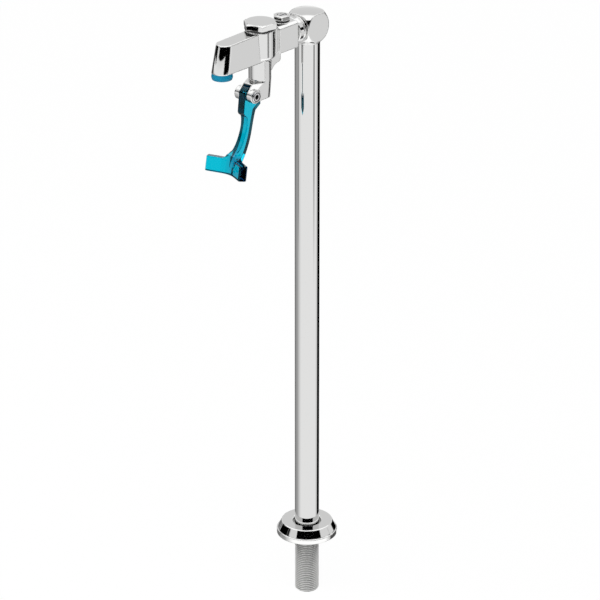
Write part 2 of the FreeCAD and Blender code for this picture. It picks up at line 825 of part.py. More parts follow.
def bonnet():
    """The cap nut on the tower: a chamfered hexagon under a flat disc, with a skirt and a spring pocket."""
    seat = tower_top + bonnet_seal_height + 2 * run_gap
    top = seat + bonnet_height
    brim = top - bonnet_disc_rise
    profile = [
        (0, seat),
        (bonnet_corner_radius - edge, seat),
        (bonnet_corner_radius, seat + edge),
        (bonnet_corner_radius, brim - bonnet_chamfer_height),
        (bonnet_disc_radius, brim),
        (bonnet_disc_radius, top),
        (0, top),
    ]
    cap = hexagon(bonnet_flats, seat, top, valve_y, bonnet_turn).common(turned(profile, valve_y))
    skirt_low = tower_top - bonnet_skirt_length
    skirt = rod(chamber_radius, skirt_low, seat + over, valve_y)
    pocket = rod(bonnet_bore_radius, skirt_low - over, top - bonnet_roof, valve_y)
    return cleaned(cap.fuse(skirt).cut(pocket))


def bonnet_seal():
    """The black ring between the bonnet and the tower."""
    low = tower_top + run_gap
    return ring(bonnet_seal_radius, chamber_radius + run_gap, low, low + bonnet_seal_height, valve_y)


def seat_ring():
    """The hard ring the washer closes on, with a raised lip."""
    lip = seat_hole_radius + 1.0
    profile = [
        (seat_hole_radius, seat_bottom),
        (seat_ring_radius, seat_bottom),
        (seat_ring_radius, seat_top - 1.0),
        (lip + 0.8, seat_top - 1.0),
        (lip, seat_top),
        (seat_hole_radius, seat_top),
    ]
    return turned(profile, valve_y)


def valve_stem():
    """The rod the lever lifts: foot, rod, washer disc and spring post."""
    disc_low = seat_top + seat_gap + seat_washer_height + run_gap
    disc_high = disc_low + stem_disc_height
    profile = [
        (0, stem_foot),
        (stem_foot_radius - edge, stem_foot),
        (stem_foot_radius, stem_foot + edge),
        (stem_foot_radius, stem_foot + 2.6),
        (stem_radius, stem_foot + 3.2),
        (stem_radius, disc_low),
        (stem_disc_radius, disc_low),
        (stem_disc_radius, disc_high),
        (stem_post_radius, disc_high),
        (stem_post_radius, disc_high + stem_post_height - edge),
        (stem_post_radius - edge, disc_high + stem_post_height),
        (0, disc_high + stem_post_height),
    ]
    return turned(profile, valve_y)


def seat_washer():
    """The rubber washer that closes on the seat."""
    low = seat_top + seat_gap
    return ring(seat_washer_radius, stem_radius + run_gap, low, low + seat_washer_height, valve_y)


def washer_retainer():
    """The small ring under the washer, which centres it in the seat's hole."""
    high = seat_top + seat_gap - run_gap
    return ring(retainer_radius, stem_radius + run_gap, high - retainer_height, high, valve_y)


def guide_bush():
    """The bush that guides the stem in the barrel."""
    bore = stem_radius + run_gap
    return ring(lower_chamber_radius, bore, guide_floor + run_gap, guide_top, valve_y)


def stem_o_ring():
    """The seal ring round the stem, on top of its bush."""
    low = guide_top + run_gap
    return ring(lower_chamber_radius, stem_radius + run_gap, low, low + stem_o_ring_height, valve_y)


def gland_washer():
    """The washer that holds the stem's seal ring down."""
    low = guide_top + stem_o_ring_height + 2 * run_gap
    return ring(lower_chamber_radius, stem_radius + rest_gap, low, low + stem_washer_height, valve_y)


def return_spring():
    """The coil spring between the stem's disc and the bonnet's roof, lofted through faceted wire sections."""
    disc_high = seat_top + seat_gap + seat_washer_height + run_gap + stem_disc_height
    roof = tower_top + bonnet_seal_height + 2 * run_gap + bonnet_height - bonnet_roof
    low = disc_high + spring_wire_radius + seat_gap
    high = roof - spring_wire_radius - seat_gap
    steps = round(spring_turns * spring_steps_per_turn)
    slope = math.atan2(high - low, spring_turns * 2 * math.pi * spring_mean_radius)
    sections = []
    for k in range(steps + 1):
        turn = spring_turns * 2 * math.pi * k / steps
        outward = Vec(math.cos(turn), math.sin(turn), 0)
        along = Vec(-math.sin(turn) * math.cos(slope), math.cos(turn) * math.cos(slope), math.sin(slope))
        upward = outward.cross(along)
        centre = Vec(0, valve_y, low + (high - low) * k / steps) + outward * spring_mean_radius
        angles = [2 * math.pi * n / spring_wire_sides for n in range(spring_wire_sides)]
        spokes = [outward * math.cos(a) + upward * math.sin(a) for a in angles]
        corners = [centre + spoke * spring_wire_radius for spoke in spokes]
        sections.append(Part.makePolygon(corners + [corners[0]]))
    return Part.makeLoft(sections, True, True)


def lever_screw():
    """The pivot screw: a shaft through both ears with a round socket head."""
    seat = barrel_half_width + boss_proud - boss_recess_depth + run_gap
    shaft = rod_x(screw_shaft_radius, rest_gap - barrel_half_width, seat + 0.2, pivot_y, pivot_z)
    head = rod_x(screw_head_radius, seat, seat + screw_head_height, pivot_y, pivot_z)
    rims = [e for e in head.Edges if e.BoundBox.XMin > seat + screw_head_height - 0.01]
    head = head.makeFillet(0.6, rims)
    corner = screw_socket_flats / 2 / math.cos(math.radians(30))
    face = seat + screw_head_height
    angles = [math.radians(60 * k + 20) for k in range(6)]
    points = [Vec(face + 1, pivot_y + corner * math.cos(a), pivot_z + corner * math.sin(a)) for a in angles]
    socket = polygon_face(points).extrude(Vec(-1 - screw_socket_depth, 0, 0))
    return cleaned(shaft.fuse(head).cut(socket))


def lever_profile(x):
    """The lever's side outline, as a face in the plane x."""
    def at(dy, dz):
        return Vec(x, pivot_y + dy, pivot_z + dz)

    heel_y = valve_y - pivot_y
    head_left = at(-lever_head_radius, 0)
    head_top = at(0, lever_head_radius)
    head_end = math.radians(head_end_angle)
    head_right = at(lever_head_radius * math.cos(head_end), lever_head_radius * math.sin(head_end))
    pad_start = at(heel_y - heel_pad_radius, heel_flat_rise)
    pad_top = at(heel_y, heel_pad_radius)
    pad_end = at(heel_y + heel_pad_radius, 0)
    back_curve = [at(dy, dz) for dy, dz in back_points]
    front_curve = [at(dy, dz) for dy, dz in front_points]
    heel = [pad_end, at(*heel_low_point)] + [at(dy, dz) for dy, dz in heel_front_points] + [back_curve[0]]
    foot = [back_curve[-1]] + [at(dy, dz) for dy, dz in foot_points] + [front_curve[0]]
    lug = [front_curve[-1]] + [at(dy, dz) for dy, dz in lug_points] + [head_left]
    back = Part.BSplineCurve()
    back.interpolate(back_curve)
    front = Part.BSplineCurve()
    front.interpolate(front_curve)
    edges = [
        Part.Arc(head_left, head_top, head_right).toShape(),
        Part.makeLine(head_right, pad_start),
        Part.Arc(pad_start, pad_top, pad_end).toShape(),
    ]
    edges += Part.makePolygon(heel).Edges + [back.toShape()]
    edges += Part.makePolygon(foot).Edges + [front.toShape()]
    edges += Part.makePolygon(lug).Edges
    return Part.Face(Part.Wire(edges))


def yoke_outline(z):
    """The yoke seen from above: two wings that meet in a rounded hollow, open to the glass."""
    angle = math.radians(yoke_wing_angle)
    half = yoke_thickness / 2
    along = Vec(math.sin(angle), -math.cos(angle), 0)
    across = Vec(math.cos(angle), math.sin(angle), 0)
    apex = Vec(0, yoke_apex_y, z)
    outer_apex = apex + Vec(0, half / math.sin(angle), 0)
    inner_apex = apex - Vec(0, half / math.sin(angle), 0)
    tip_outer = apex + along * yoke_wing_length + across * half
    tip_inner = apex + along * yoke_wing_length - across * half
    run = yoke_inner_radius / math.tan(angle)
    hollow_start = inner_apex + along * run
    hollow_deep = inner_apex - Vec(0, yoke_inner_radius * (1 / math.sin(angle) - 1), 0)

    def mirrored(v):
        return Vec(-v.x, v.y, v.z)

    edges = [
        Part.makeLine(outer_apex, tip_outer),
        Part.makeLine(tip_outer, tip_inner),
        Part.makeLine(tip_inner, hollow_start),
        Part.Arc(hollow_start, hollow_deep, mirrored(hollow_start)).toShape(),
        Part.makeLine(mirrored(hollow_start), mirrored(tip_inner)),
        Part.makeLine(mirrored(tip_inner), mirrored(tip_outer)),
        Part.makeLine(mirrored(tip_outer), outer_apex),
    ]
    return Part.Face(Part.Wire(edges))


def yoke():
    """The foot that the glass pushes, tilted so that its hollow side faces a little down."""
    low = yoke_middle - yoke_height / 2
    wings = yoke_outline(low).extrude(Vec(0, 0, yoke_height))
    far_out = 0.5 * yoke_wing_length
    tips = [e for e in wings.Edges if e.BoundBox.ZLength > 1 and abs(e.BoundBox.XMin) > far_out]
    wings = wings.makeFillet(yoke_tip_radius, tips)
    rims = [e for e in wings.Edges if e.BoundBox.ZLength < 0.01]
    wings = wings.makeFillet(yoke_edge_radius, rims)
    wings.rotate(Vec(0, yoke_apex_y, yoke_middle), Vec(1, 0, 0), -yoke_tilt)
    return wings


def yoke_gussets():
    """The hollow flares that carry the stem's sides out into the tops of the wings."""
    low = yoke_middle
    top = yoke_middle + yoke_height / 2
    high = top + gusset_radius
    inner = lever_half_width
    outer = inner + gusset_radius
    dip = gusset_radius * math.sqrt(0.5)
    front = yoke_apex_y - yoke_wing_length

    def at(x, z):
        return Vec(x, front, z)

    edges = [
        Part.makeLine(at(-outer, low), at(outer, low)),
        Part.makeLine(at(outer, low), at(outer, top)),
        Part.Arc(at(outer, top), at(outer - dip, high - dip), at(inner, high)).toShape(),
        Part.makeLine(at(inner, high), at(-inner, high)),
        Part.Arc(at(-inner, high), at(dip - outer, high - dip), at(-outer, top)).toShape(),
        Part.makeLine(at(-outer, top), at(-outer, low)),
    ]
    flares = Part.Face(Part.Wire(edges)).extrude(Vec(0, 2 * yoke_wing_length, 0))
    flares = flares.common(yoke_outline(low).extrude(Vec(0, 0, high - low)))
    flares.rotate(Vec(0, yoke_apex_y, yoke_middle), Vec(1, 0, 0), -yoke_tilt)
    wide = lever_profile(-outer).extrude(Vec(2 * outer, 0, 0))
    return flares.common(wide)


def lever():
    """The blue lever: head and heel in the fork, a bowed stem, and the yoke the glass pushes."""
    plate = lever_profile(-lever_half_width).extrude(Vec(2 * lever_half_width, 0, 0))
    rims = [e for e in plate.Edges if e.BoundBox.XLength < 0.01]
    plate = plate.makeFillet(lever_edge_radius, rims)
    body = cleaned(plate.fuse([yoke(), yoke_gussets()]))
    reach = lever_half_width + over
    bore = rod_x(screw_shaft_radius + run_gap, -reach, reach, pivot_y, pivot_z)
    return cleaned(body.cut(bore))


def outlet_tip():
    """The blue outlet ring: a spigot in the spout, a rounded collar and a lip for the straightener."""
    top = spout_bottom - run_gap
    low = top - tip_height
    profile = [
        (tip_lip_radius, low + 0.3),
        (tip_lip_radius + 0.3, low),
        (tip_bottom_radius, low),
        (tip_bottom_radius + 0.9, low + 0.35),
        (tip_radius - 0.25, low + 1.3),
        (tip_radius, low + 2.6),
        (tip_top_radius, top),
        (tip_spigot_radius, top),
        (tip_spigot_radius, top + tip_spigot_length),
        (tip_bore_radius, top + tip_spigot_length),
        (tip_bore_radius, low + tip_lip_height),
        (tip_lip_radius, low + tip_lip_height),
    ]
    return turned(profile, outlet_y)


def flow_straightener():
    """A drilled disc that smooths the stream, on the tip's lip."""
    low = spout_bottom - run_gap - tip_height + tip_lip_height + run_gap
    disc = rod(tip_bore_radius - run_gap, low, low + straightener_height, outlet_y)
    holes = []
    for row in range(-2, 3):
        for column in range(-2, 3):
            if abs(row + column) > 2:
                continue
            x = straightener_pitch * (column + row / 2)
            y = outlet_y + straightener_pitch * row * math.sin(math.radians(60))
            centre = Vec(x, y, low - 1)
            holes.append(Part.makeCylinder(straightener_hole_radius, straightener_height + 2, centre))
    return cleaned(disc.cut(holes))


pieces = {
    "base_flange": base_flange,
    "base_gasket": base_gasket,
    "threaded_shank": shank,
    "riser_tube": riser_tube,
    "top_nipple": top_nipple,
    "riser_seal": riser_seal,
    "elbow": elbow,
    "arm_nipple": arm_nipple,
    "arm_collar": arm_collar,
    "arm_seal": arm_o_ring,
    "valve_body": valve_body,
    "flow_regulator": regulator_screw,
    "regulator_seal": gland_seal,
    "gland_nut": gland_nut,
    "bonnet": bonnet,
    "bonnet_seal": bonnet_seal,
    "seat_ring": seat_ring,
    "valve_stem": valve_stem,
    "seat_washer": seat_washer,
    "washer_retainer": washer_retainer,
    "guide_bush": guide_bush,
    "stem_seal": stem_o_ring,
    "gland_washer": gland_washer,
    "return_spring": return_spring,
    "lever_screw": lever_screw,
    "lever": lever,
    "outlet_tip": outlet_tip,
    "flow_straightener": flow_straightener,
}

os.makedirs("parts", exist_ok=True)
for name, make in pieces.items():
    shape = make()
    print(name, "solids", len(shape.Solids), "valid", shape.isValid(), "volume", round(shape.Volume, 1))
    shape.exportStep("parts/" + name + ".step")
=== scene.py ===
# %% [markdown]
# # A glass filler faucet
# A glass filler stands at the back of a bar sink. A tall chromed riser comes up through the deck, an
# elbow turns the water forward, and a cast valve body ends in a drooping spout. A glass pressed against
# the blue lever lifts a stem inside the tower, and water runs into the glass.
# All parts arrive already modelled, each in its own node. This script gives them their finishes, cuts
# the thread on the tailpiece, and builds the studio. On polished chrome the studio is most of the
# picture, because a mirror has no look of its own: it only repeats what stands around it.

import math

import bpy
import numpy as np
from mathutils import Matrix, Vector


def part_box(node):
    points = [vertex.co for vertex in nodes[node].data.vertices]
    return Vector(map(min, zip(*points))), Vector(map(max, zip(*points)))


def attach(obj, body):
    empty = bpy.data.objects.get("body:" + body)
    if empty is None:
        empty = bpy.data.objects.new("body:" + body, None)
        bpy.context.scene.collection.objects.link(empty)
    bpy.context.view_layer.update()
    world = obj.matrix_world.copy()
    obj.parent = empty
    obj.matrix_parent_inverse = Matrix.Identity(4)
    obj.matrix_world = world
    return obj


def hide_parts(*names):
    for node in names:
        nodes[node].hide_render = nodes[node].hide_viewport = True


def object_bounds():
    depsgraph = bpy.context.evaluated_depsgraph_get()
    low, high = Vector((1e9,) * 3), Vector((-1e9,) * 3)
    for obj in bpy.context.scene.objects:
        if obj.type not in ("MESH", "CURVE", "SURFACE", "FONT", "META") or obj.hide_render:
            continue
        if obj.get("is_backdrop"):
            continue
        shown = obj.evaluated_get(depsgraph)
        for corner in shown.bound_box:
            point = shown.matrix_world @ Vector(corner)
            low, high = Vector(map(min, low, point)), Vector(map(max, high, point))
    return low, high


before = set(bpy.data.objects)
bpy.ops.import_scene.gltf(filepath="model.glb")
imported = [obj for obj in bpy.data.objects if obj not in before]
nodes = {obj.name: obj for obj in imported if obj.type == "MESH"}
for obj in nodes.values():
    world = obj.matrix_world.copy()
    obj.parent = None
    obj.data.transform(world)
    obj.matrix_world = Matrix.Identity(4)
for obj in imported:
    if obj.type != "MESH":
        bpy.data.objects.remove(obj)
cad_low, cad_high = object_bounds()
print("nodes", len(nodes), "size in mm", [round(1000 * s, 1) for s in cad_high - cad_low])

# %% [markdown]
# ## The camera
# The picture looks down on the faucet from the front right, through a long lens. A long lens keeps the
# riser's two sides nearly parallel. Four things set the camera: the turn about the riser, the height
# above the horizon, the distance and the lens. Their values, and the point aimed at, were fitted until
# the model's outline lay on the picture's.

# %% Camera
MM = 0.001
PHOTO_PIXELS = 600
SENSOR_MM = 36.0
FOCAL_PIXELS = 3399.27
VIEW_TURN = math.radians(42.0)
VIEW_RISE = math.radians(24.0)
VIEW_DISTANCE = 2.911
AIM_HEIGHT = 0.2231
AIM_SIDE = -0.00613

to_right = Vector((math.cos(VIEW_TURN), math.sin(VIEW_TURN), 0))
to_camera = Vector((
    math.sin(VIEW_TURN) * math.cos(VIEW_RISE),
    -math.cos(VIEW_TURN) * math.cos(VIEW_RISE),
    math.sin(VIEW_RISE),
))
aim = Vector((0, 0, AIM_HEIGHT)) + to_right * AIM_SIDE

lens = bpy.data.cameras.new("camera")
lens.sensor_width = SENSOR_MM
lens.lens = SENSOR_MM * FOCAL_PIXELS / PHOTO_PIXELS
lens.clip_start, lens.clip_end = 0.1, 50.0
camera = bpy.data.objects.new("camera", lens)
camera.location = aim + to_camera * VIEW_DISTANCE
camera.rotation_mode = "QUATERNION"
camera.rotation_quaternion = (-to_camera).to_track_quat("-Z", "Y")
bpy.context.collection.objects.link(camera)
bpy.context.scene.camera = camera
bpy.context.scene.view_settings.view_transform = "Standard"
print("lens in mm", round(lens.lens, 1), "one pixel in mm", round(VIEW_DISTANCE / MM / FOCAL_PIXELS, 3))

# %% [markdown]
# ## Small tools for node trees
# Every finish and the studio are node trees. Five helpers keep them short. One adds a node and sets its
# values, one does a sum on sockets or numbers, and one eases from one value to another. One makes a
# soft-edged window, which is one inside a span, nought outside it, and eases between the two. The last
# one blends two values by a share.

# %% Node helpers
def add_node(tree, kind, inputs=None, **settings):
    """A new node of a kind, with attributes set by name and sockets set or linked by name or index."""
    node = tree.nodes.new(kind)
    for name, value in settings.items():
        setattr(node, name, value)
    for name, value in (inputs or {}).items():
        if isinstance(value, bpy.types.NodeSocket):
            tree.links.new(value, node.inputs[name])
        else:
            node.inputs[name].default_value = value
    return node


def maths(tree, operation, *values):
    """The result socket of one sum on sockets or plain numbers."""
    return add_node(tree, "ShaderNodeMath", dict(enumerate(values)), operation=operation).outputs[0]


def eased(tree, value, start, end, low=0.0, high=1.0):
    """A value that goes smoothly from low to high while the input goes from start to end."""
    inputs = {"Value": value, "From Min": start, "From Max": end, "To Min": low, "To Max": high}
    return add_node(tree, "ShaderNodeMapRange", inputs, interpolation_type="SMOOTHSTEP").outputs["Result"]


def window(tree, value, half, soft):
    """One where the size of the value is under half, nought beyond half + soft, eased between."""
    return eased(tree, maths(tree, "ABSOLUTE", value), half, half + soft, 1.0, 0.0)


def blended(tree, share, low, high):
    """low where the share is nought and high where it is one."""
    inputs = {"Value": share, "To Min": low, "To Max": high}
    return add_node(tree, "ShaderNodeMapRange", inputs).outputs["Result"]


# %% [markdown]
# ## The studio
# Product photographers light chrome by what it mirrors: large white surfaces for its body, and black
# cards that draw dark lines along its edges. Cards and boxes could be built as meshes, but they would
# stand in the way of other views. Here they are drawn on the sky instead, by direction: an azimuth
# about the riser and a height over the horizon, both in degrees. Only mirrored rays see them.
# To place a card, take a spot on the chrome, work out in which direction it mirrors, and look how bright
# it is in the picture: a dark spot asks for a card in that direction. The real studio isn't known. These
# cards are fitted to the picture's side, and another set could look the same from there.

# %% Cards and boxes round the object
FLOOR_LEVEL = 1.12      # what chrome mirrors below the horizon
CEILING_LEVEL = 0.95    # and above it
HORIZON_SOFT = 6.0

# Each card: azimuth and height of its middle, half its width and height, softness sideways and
# upright, level. Azimuth 0 is +X, 90 is +Y, -90 is before the spout. Later cards cover earlier ones.
STUDIO_CARDS = [
    (0, 68, 180, 27, 1, 3, 1.50),        # light tent overhead, for the chamfers
    (-30, -62, 110, 24, 10, 5, 1.50),    # bright sheet low down, for the undersides of rims
    (180, -45, 16, 34, 64, 4, 0.42),     # the floor falls off slowly behind, to the left
    (156, -45, 20, 40, 6, 6, 0.22),      # and is darker between there and straight behind
    (50, -26, 8, 10, 10, 3, 0.80),       # it is a little grey on the right as well
    (15, -15, 6, 6, 3, 3, 0.36),         # grey strip, on the tower and the gland nut
    (46, -21, 5, 10, 3, 3, 0.93),        # panel that the broad sides mirror
    (87, -15, 24, 18, 2, 2, 0.0),        # black card behind, to the right
    (87, -56, 24, 24, 4, 4, 0.10),       # and the dark floor before it
    (-41, 27, 51, 12, 1.5, 1.0, 0.0),    # long black card on the camera's side, upper part
    (-45, 12, 66, 6, 1.5, 1.5, 0.0),     # its middle part, a little wider
    (-5, -4, 29, 11, 2, 2, 0.0),         # its foot, narrow, which the nose shows on its right
    (-155, 10, 20, 12, 1.5, 1.5, 0.0),   # black card to the left
    (-172, -7, 10, 7, 2, 2, 0.02),       # and its foot
    (-139, -18, 4, 4, 2, 1.5, 0.20),     # small card, the dark streak at the top of the riser
    (-126, 17, 7, 5, 2, 2, 0.0),         # small card, the black on the top of the collar
    (44, 6, 6, 8, 2, 2, 0.0),            # narrow black card, the dark line under level edges
    (133, 24, 14, 14, 6, 6, 0.86),       # panel behind, which the level tops mirror
]

world = bpy.data.worlds.new("studio")
world.use_nodes = True
bpy.context.scene.world = world
sky = world.node_tree
sky.nodes.clear()
sky_place = add_node(sky, "ShaderNodeTexCoord").outputs["Generated"]
direction = add_node(sky, "ShaderNodeSeparateXYZ", {0: sky_place})
azimuth = maths(sky, "DEGREES", maths(sky, "ARCTAN2", direction.outputs["Y"], direction.outputs["X"]))
height = maths(sky, "DEGREES", maths(sky, "ARCSINE", direction.outputs["Z"]))
level = eased(sky, height, -HORIZON_SOFT, HORIZON_SOFT, FLOOR_LEVEL, CEILING_LEVEL)
for card_turn, card_rise, half_width, half_height, side_soft, rise_soft, card_level in STUDIO_CARDS:
    turn = maths(sky, "WRAP", maths(sky, "SUBTRACT", azimuth, card_turn), 180.0, -180.0)
    rise = maths(sky, "SUBTRACT", height, card_rise)
    across = window(sky, turn, half_width, side_soft)
    upright = window(sky, rise, half_height, rise_soft)
    covered = maths(sky, "MULTIPLY", across, upright)
    level = blended(sky, covered, level, card_level)

# %% [markdown]
# The sky has to answer differently to different rays. A ray from the camera sees white. A ray that has
# passed through the clear lever sees white below the horizon and a dim room above it, which darkens the
# lever's edges, and less light yet if it was turned back inside. A mirrored ray sees the cards. Any other
# ray only carries light to matt surfaces, more of it from the camera's side than from behind, which
# rounds the tailpiece. A real room can't do this. It is a studio trick, and Light Path is the node for it.

# %% The sky for each kind of ray
BACKDROP_LEVEL = 1.0
# The clear lever's view of the sky falls from the backdrop's level to the room's between two heights.
DIM_ROOM = 0.25
DIM_FROM, DIM_TO = -4.0, 12.0
DIM_IMAGE = 0.12  # share left to a ray that was turned back inside
# The light on matt surfaces is full near one azimuth, and least beyond a wider angle from it.
LIT_SIDE = -48
LIT_WITHIN, LIT_UNTIL = 10.0, 80.0
SKY_LIGHT_FRONT = 1.7
SKY_LIGHT_BACK = 0.08

ray = add_node(sky, "ShaderNodeLightPath")
off_front = maths(sky, "WRAP", maths(sky, "SUBTRACT", azimuth, LIT_SIDE), 180.0, -180.0)
off_front = maths(sky, "ABSOLUTE", off_front)
sky_light = eased(sky, off_front, LIT_WITHIN, LIT_UNTIL, SKY_LIGHT_FRONT, SKY_LIGHT_BACK)
strength = blended(sky, ray.outputs["Is Glossy Ray"], sky_light, level)
behind_clear = eased(sky, height, DIM_FROM, DIM_TO, BACKDROP_LEVEL, DIM_ROOM)
turned_back = maths(sky, "MINIMUM", ray.outputs["Glossy Depth"], 1.0)
behind_clear = maths(sky, "MULTIPLY", behind_clear, blended(sky, turned_back, 1.0, DIM_IMAGE))
strength = blended(sky, ray.outputs["Is Transmission Ray"], strength, behind_clear)
strength = blended(sky, ray.outputs["Is Camera Ray"], strength, BACKDROP_LEVEL)
background = add_node(sky, "ShaderNodeBackground", {"Color": (1, 1, 1, 1), "Strength": strength})
add_node(sky, "ShaderNodeOutputWorld", {"Surface": background.outputs[0]})
print("studio cards", len(STUDIO_CARDS))

# %% [markdown]
# ## Floor and lamp
# The floor is one white sheet under the end of the tailpiece. Most of its white is its own, so that it
# meets the backdrop without a line, and the rest is lit, which leaves a faint shadow under the object.
# Its own white shows only to the eye and through the clear lever.
# One broad lamp above gives matt surfaces a lighter and a darker side. Floor and lamp are both hidden
# from mirrored rays, because the cards already say what the chrome shows.

# %% Floor and lamp
FLOOR_HALF = 9.0
FLOOR_OWN_WHITE = 0.95
FLOOR_LEVEL_SEEN = 1.02
FLOOR_COLOUR = (0.92, 0.92, 0.92, 1)
LAMP_SIZE = 1.6
LAMP_POWER = 14.0
LAMP_PLACE = Vector((-0.6, -1.3, 1.9))

corners = np.array([(-1, -1), (1, -1), (1, 1), (-1, 1)]) * FLOOR_HALF
floor_mesh = bpy.data.meshes.new("floor")
floor_mesh.from_pydata(np.column_stack([corners, np.full(4, cad_low.z)]).tolist(), [], [(0, 1, 2, 3)])
floor = bpy.data.objects.new("floor", floor_mesh)
bpy.context.collection.objects.link(floor)
floor.visible_glossy = False
floor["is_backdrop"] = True

floor_paint = bpy.data.materials.new("floor_paint")
floor_paint.use_nodes = True
paint = floor_paint.node_tree
paint.nodes.clear()
paint_ray = add_node(paint, "ShaderNodeLightPath")
from_camera = paint_ray.outputs["Is Camera Ray"]
through_clear = paint_ray.outputs["Is Transmission Ray"]
paint_seen = maths(paint, "MAXIMUM", from_camera, through_clear)
lit = add_node(paint, "ShaderNodeBsdfDiffuse", {"Color": FLOOR_COLOUR})
paint_turned = maths(paint, "MINIMUM", paint_ray.outputs["Glossy Depth"], 1.0)
own_level = blended(paint, paint_turned, FLOOR_LEVEL_SEEN, DIM_IMAGE)
own = add_node(paint, "ShaderNodeEmission", {"Color": (1, 1, 1, 1), "Strength": own_level})
share = maths(paint, "MULTIPLY", paint_seen, FLOOR_OWN_WHITE)
mixed = add_node(paint, "ShaderNodeMixShader", {0: share, 1: lit.outputs[0], 2: own.outputs[0]})
add_node(paint, "ShaderNodeOutputMaterial", {"Surface": mixed.outputs[0]})
floor_mesh.materials.append(floor_paint)

lamp_data = bpy.data.lights.new("lamp", "AREA")
lamp_data.shape = "SQUARE"
lamp_data.size = LAMP_SIZE
lamp_data.energy = LAMP_POWER
lamp = bpy.data.objects.new("lamp", lamp_data)
lamp.location = LAMP_PLACE
lamp.rotation_mode = "QUATERNION"
lamp.rotation_quaternion = (aim - LAMP_PLACE).to_track_quat("-Z", "Y")
lamp.visible_glossy = False
bpy.context.collection.objects.link(lamp)

# %% [markdown]
# ## A tree for every finish
# Each finish starts in the same way: a material with one Principled shader, and a few patterns on the
# object's own coordinates, so that a pattern stays put on a part that moves. Sizes of patterns are
# given in millimetres, as on a real surface.

# %% Start of a finish
def new_finish(name, **values):
    """A material, its tree and its Principled shader, with plain values set on the shader's sockets."""
    material = bpy.data.materials.new(name)
    material.use_nodes = True
    tree = material.node_tree
    shader = tree.nodes["Principled BSDF"]
    for socket, value in values.items():
        shader.inputs[socket.replace("_", " ")].default_value = value
    return material, tree, shader


def place(tree, stretch=(1, 1, 1), centre=(0, 0, 0)):
    """The object's own coordinates about a centre, pressed together by the stretch on each axis."""
    own_place = add_node(tree, "ShaderNodeTexCoord").outputs["Object"]
    moved = add_node(tree, "ShaderNodeVectorMath", {0: own_place, 1: centre}, operation="SUBTRACT")
    inputs = {0: moved.outputs[0], 1: [1 / s for s in stretch]}
    return add_node(tree, "ShaderNodeVectorMath", inputs, operation="MULTIPLY").outputs[0]


def speckle(tree, size_mm, where, detail=2.0):
    """Cloudy noise with features of about the given size."""
    inputs = {"Vector": where, "Scale": 1 / (size_mm * MM), "Detail": detail}
    return add_node(tree, "ShaderNodeTexNoise", inputs).outputs["Fac"]


def two_tone(tree, share, first, second):
    """The first colour where the share is nought and the second where it is one."""
    inputs = {0: share, 6: first, 7: second}
    return add_node(tree, "ShaderNodeMix", inputs, data_type="RGBA").outputs[2]


def distance(tree, where, axes):
    """How far a place is from the origin, counting only the axes that are one."""
    kept = add_node(tree, "ShaderNodeVectorMath", {0: where, 1: axes}, operation="MULTIPLY").outputs[0]
    return add_node(tree, "ShaderNodeVectorMath", {0: kept}, operation="LENGTH").outputs["Value"]


def relief(tree, shader, pattern, depth_mm, normal=None):
    """Bump on the shader from a pattern of 0 to 1 that stands for the given depth."""
    inputs = {"Height": pattern, "Distance": depth_mm * MM, "Strength": 1.0}
    if normal is not None:
        inputs["Normal"] = normal
    bump = add_node(tree, "ShaderNodeBump", inputs)
    tree.links.new(bump.outputs["Normal"], shader.inputs["Normal"])


# %% [markdown]
# ## Chrome
# Chrome plate is a thin hard mirror that copies the metal under it. On a drawn pipe it shows very fine
# lines along the pipe, on a casting the slow waves of hand polishing, and on turned parts the rings of
# the lathe, for which a haze drawn out level stands here. One function makes all three. The base colour
# is the share of light that the plate gives back, and the roughness wanders between two near-mirror
# values, as wiped metal does.
# Polishing also takes the edges off a casting. A rounded edge mirrors everything between what its two
# faces mirror, and that is the bright line with a dark one beside it along many edges in the picture.
# The Bevel node rounds edges in the shading alone. The solids keep the edges they were drawn with, some
# of them rounded and some sharp.

# %% Chrome finishes
CHROME_COLOUR = (0.665, 0.665, 0.66, 1)
CHROME_SMOOTHEST = 0.015
CHROME_ROUGHEST = 0.05
HAZE_MM, HAZE_DETAIL = 3.0, 4.0
EDGE_ROUND = 1.3
EDGE_SAMPLES = 6


def leaned(tree, normal, lean):
    """A normal tipped upward by a share of its length."""
    upward = add_node(tree, "ShaderNodeCombineXYZ", {"Z": lean}).outputs[0]
    tipped = add_node(tree, "ShaderNodeVectorMath", {0: normal, 1: upward}, operation="ADD").outputs[0]
    return add_node(tree, "ShaderNodeVectorMath", {0: tipped}, operation="NORMALIZE").outputs[0]


def chrome(name, stretch, wave_mm, wave_depth_mm, round_mm=EDGE_ROUND, lean=None):
    """Mirror plate with stretched haze, waves of the given size, and edges rounded in the shading."""
    material, tree, shader = new_finish(name, Base_Color=CHROME_COLOUR, Metallic=1.0)
    haze = speckle(tree, HAZE_MM, place(tree, stretch), HAZE_DETAIL)
    roughness = blended(tree, haze, CHROME_SMOOTHEST, CHROME_ROUGHEST)
    tree.links.new(roughness, shader.inputs["Roughness"])
    normal = None
    if round_mm:
        bevel = add_node(tree, "ShaderNodeBevel", {"Radius": round_mm * MM}, samples=EDGE_SAMPLES)
        normal = bevel.outputs[0]
    if lean is not None:
        normal = leaned(tree, normal, lean(tree))
    relief(tree, shader, speckle(tree, wave_mm, place(tree)), wave_depth_mm, normal)
    return material


# %% [markdown]
# In the picture the black patch on the spout's nose narrows downward, as on a face that bows from its
# foot to its brow. The flange's panels sit where a flatter cone and an undercut rim would put them. The
# solids run straight there, and their normals are tipped a little instead, by amounts tried against the
# picture.

# %% Faces that lean
NOSE_BACK = -100.0
NOSE_FOOT, NOSE_BROW = 459.0, 482.0
NOSE_LEAN_FOOT, NOSE_LEAN_BROW = -0.08, 0.13
NOSE_SOFT = 1.0
CONE_FOOT, CONE_SOFT = 4.6, 0.6
CONE_LEAN, RIM_LEAN = 0.12, -0.12


